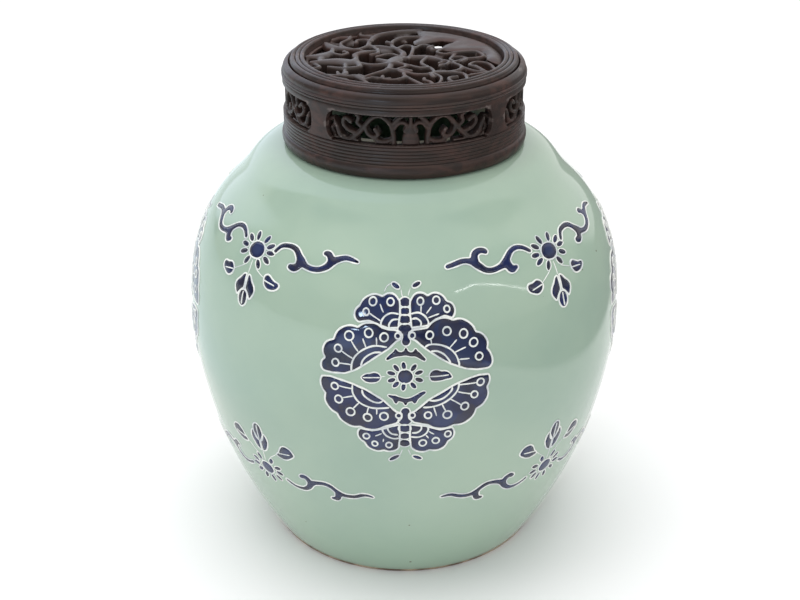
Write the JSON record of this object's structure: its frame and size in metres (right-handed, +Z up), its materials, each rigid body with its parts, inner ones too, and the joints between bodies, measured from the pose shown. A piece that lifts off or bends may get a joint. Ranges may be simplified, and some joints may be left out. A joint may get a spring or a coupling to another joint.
{
  "type": "ginger jar",
  "caption": "Round-shouldered celadon ginger jar with raised slip and cobalt decoration and a loose pierced hardwood cover.",
  "frame": {"origin": "centre of the foot, on the surface the jar stands on", "axes": "+Z up along the jar's axis, which is also the cover's; the front, with one of the four round butterfly panels, faces -Y"},
  "size_m": [0.199, 0.199, 0.231],
  "materials": {
    "celadon_glaze": "glossy celadon glaze",
    "white_slip": "raised white slip under a thin glaze",
    "cobalt_glaze": "glossy cobalt",
    "unglazed_foot": "bare fired clay, rubbed",
    "turned_hardwood": "dark stained, waxed, turned",
    "carved_hardwood": "dark stained, carved, rubbed edges",
    "fret_hardwood": "dark stained, carved"
  },
  "bodies": {
    "jar": {"jar_body": "celadon_glaze"},
    "cover": {"cover_drum": "turned_hardwood", "cover_bead_ring": "turned_hardwood", "cover_top_panel": "carved_hardwood", "window_fret_front": "fret_hardwood", "window_fret_right": "fret_hardwood", "window_fret_back": "fret_hardwood", "window_fret_left": "fret_hardwood"}
  },
  "joints": [
    {"name": "cover_lift", "type": "slide", "parent": "jar", "child": "cover", "axis": [0, 0, 1], "range_m": [0, 0.06]}
  ]
}
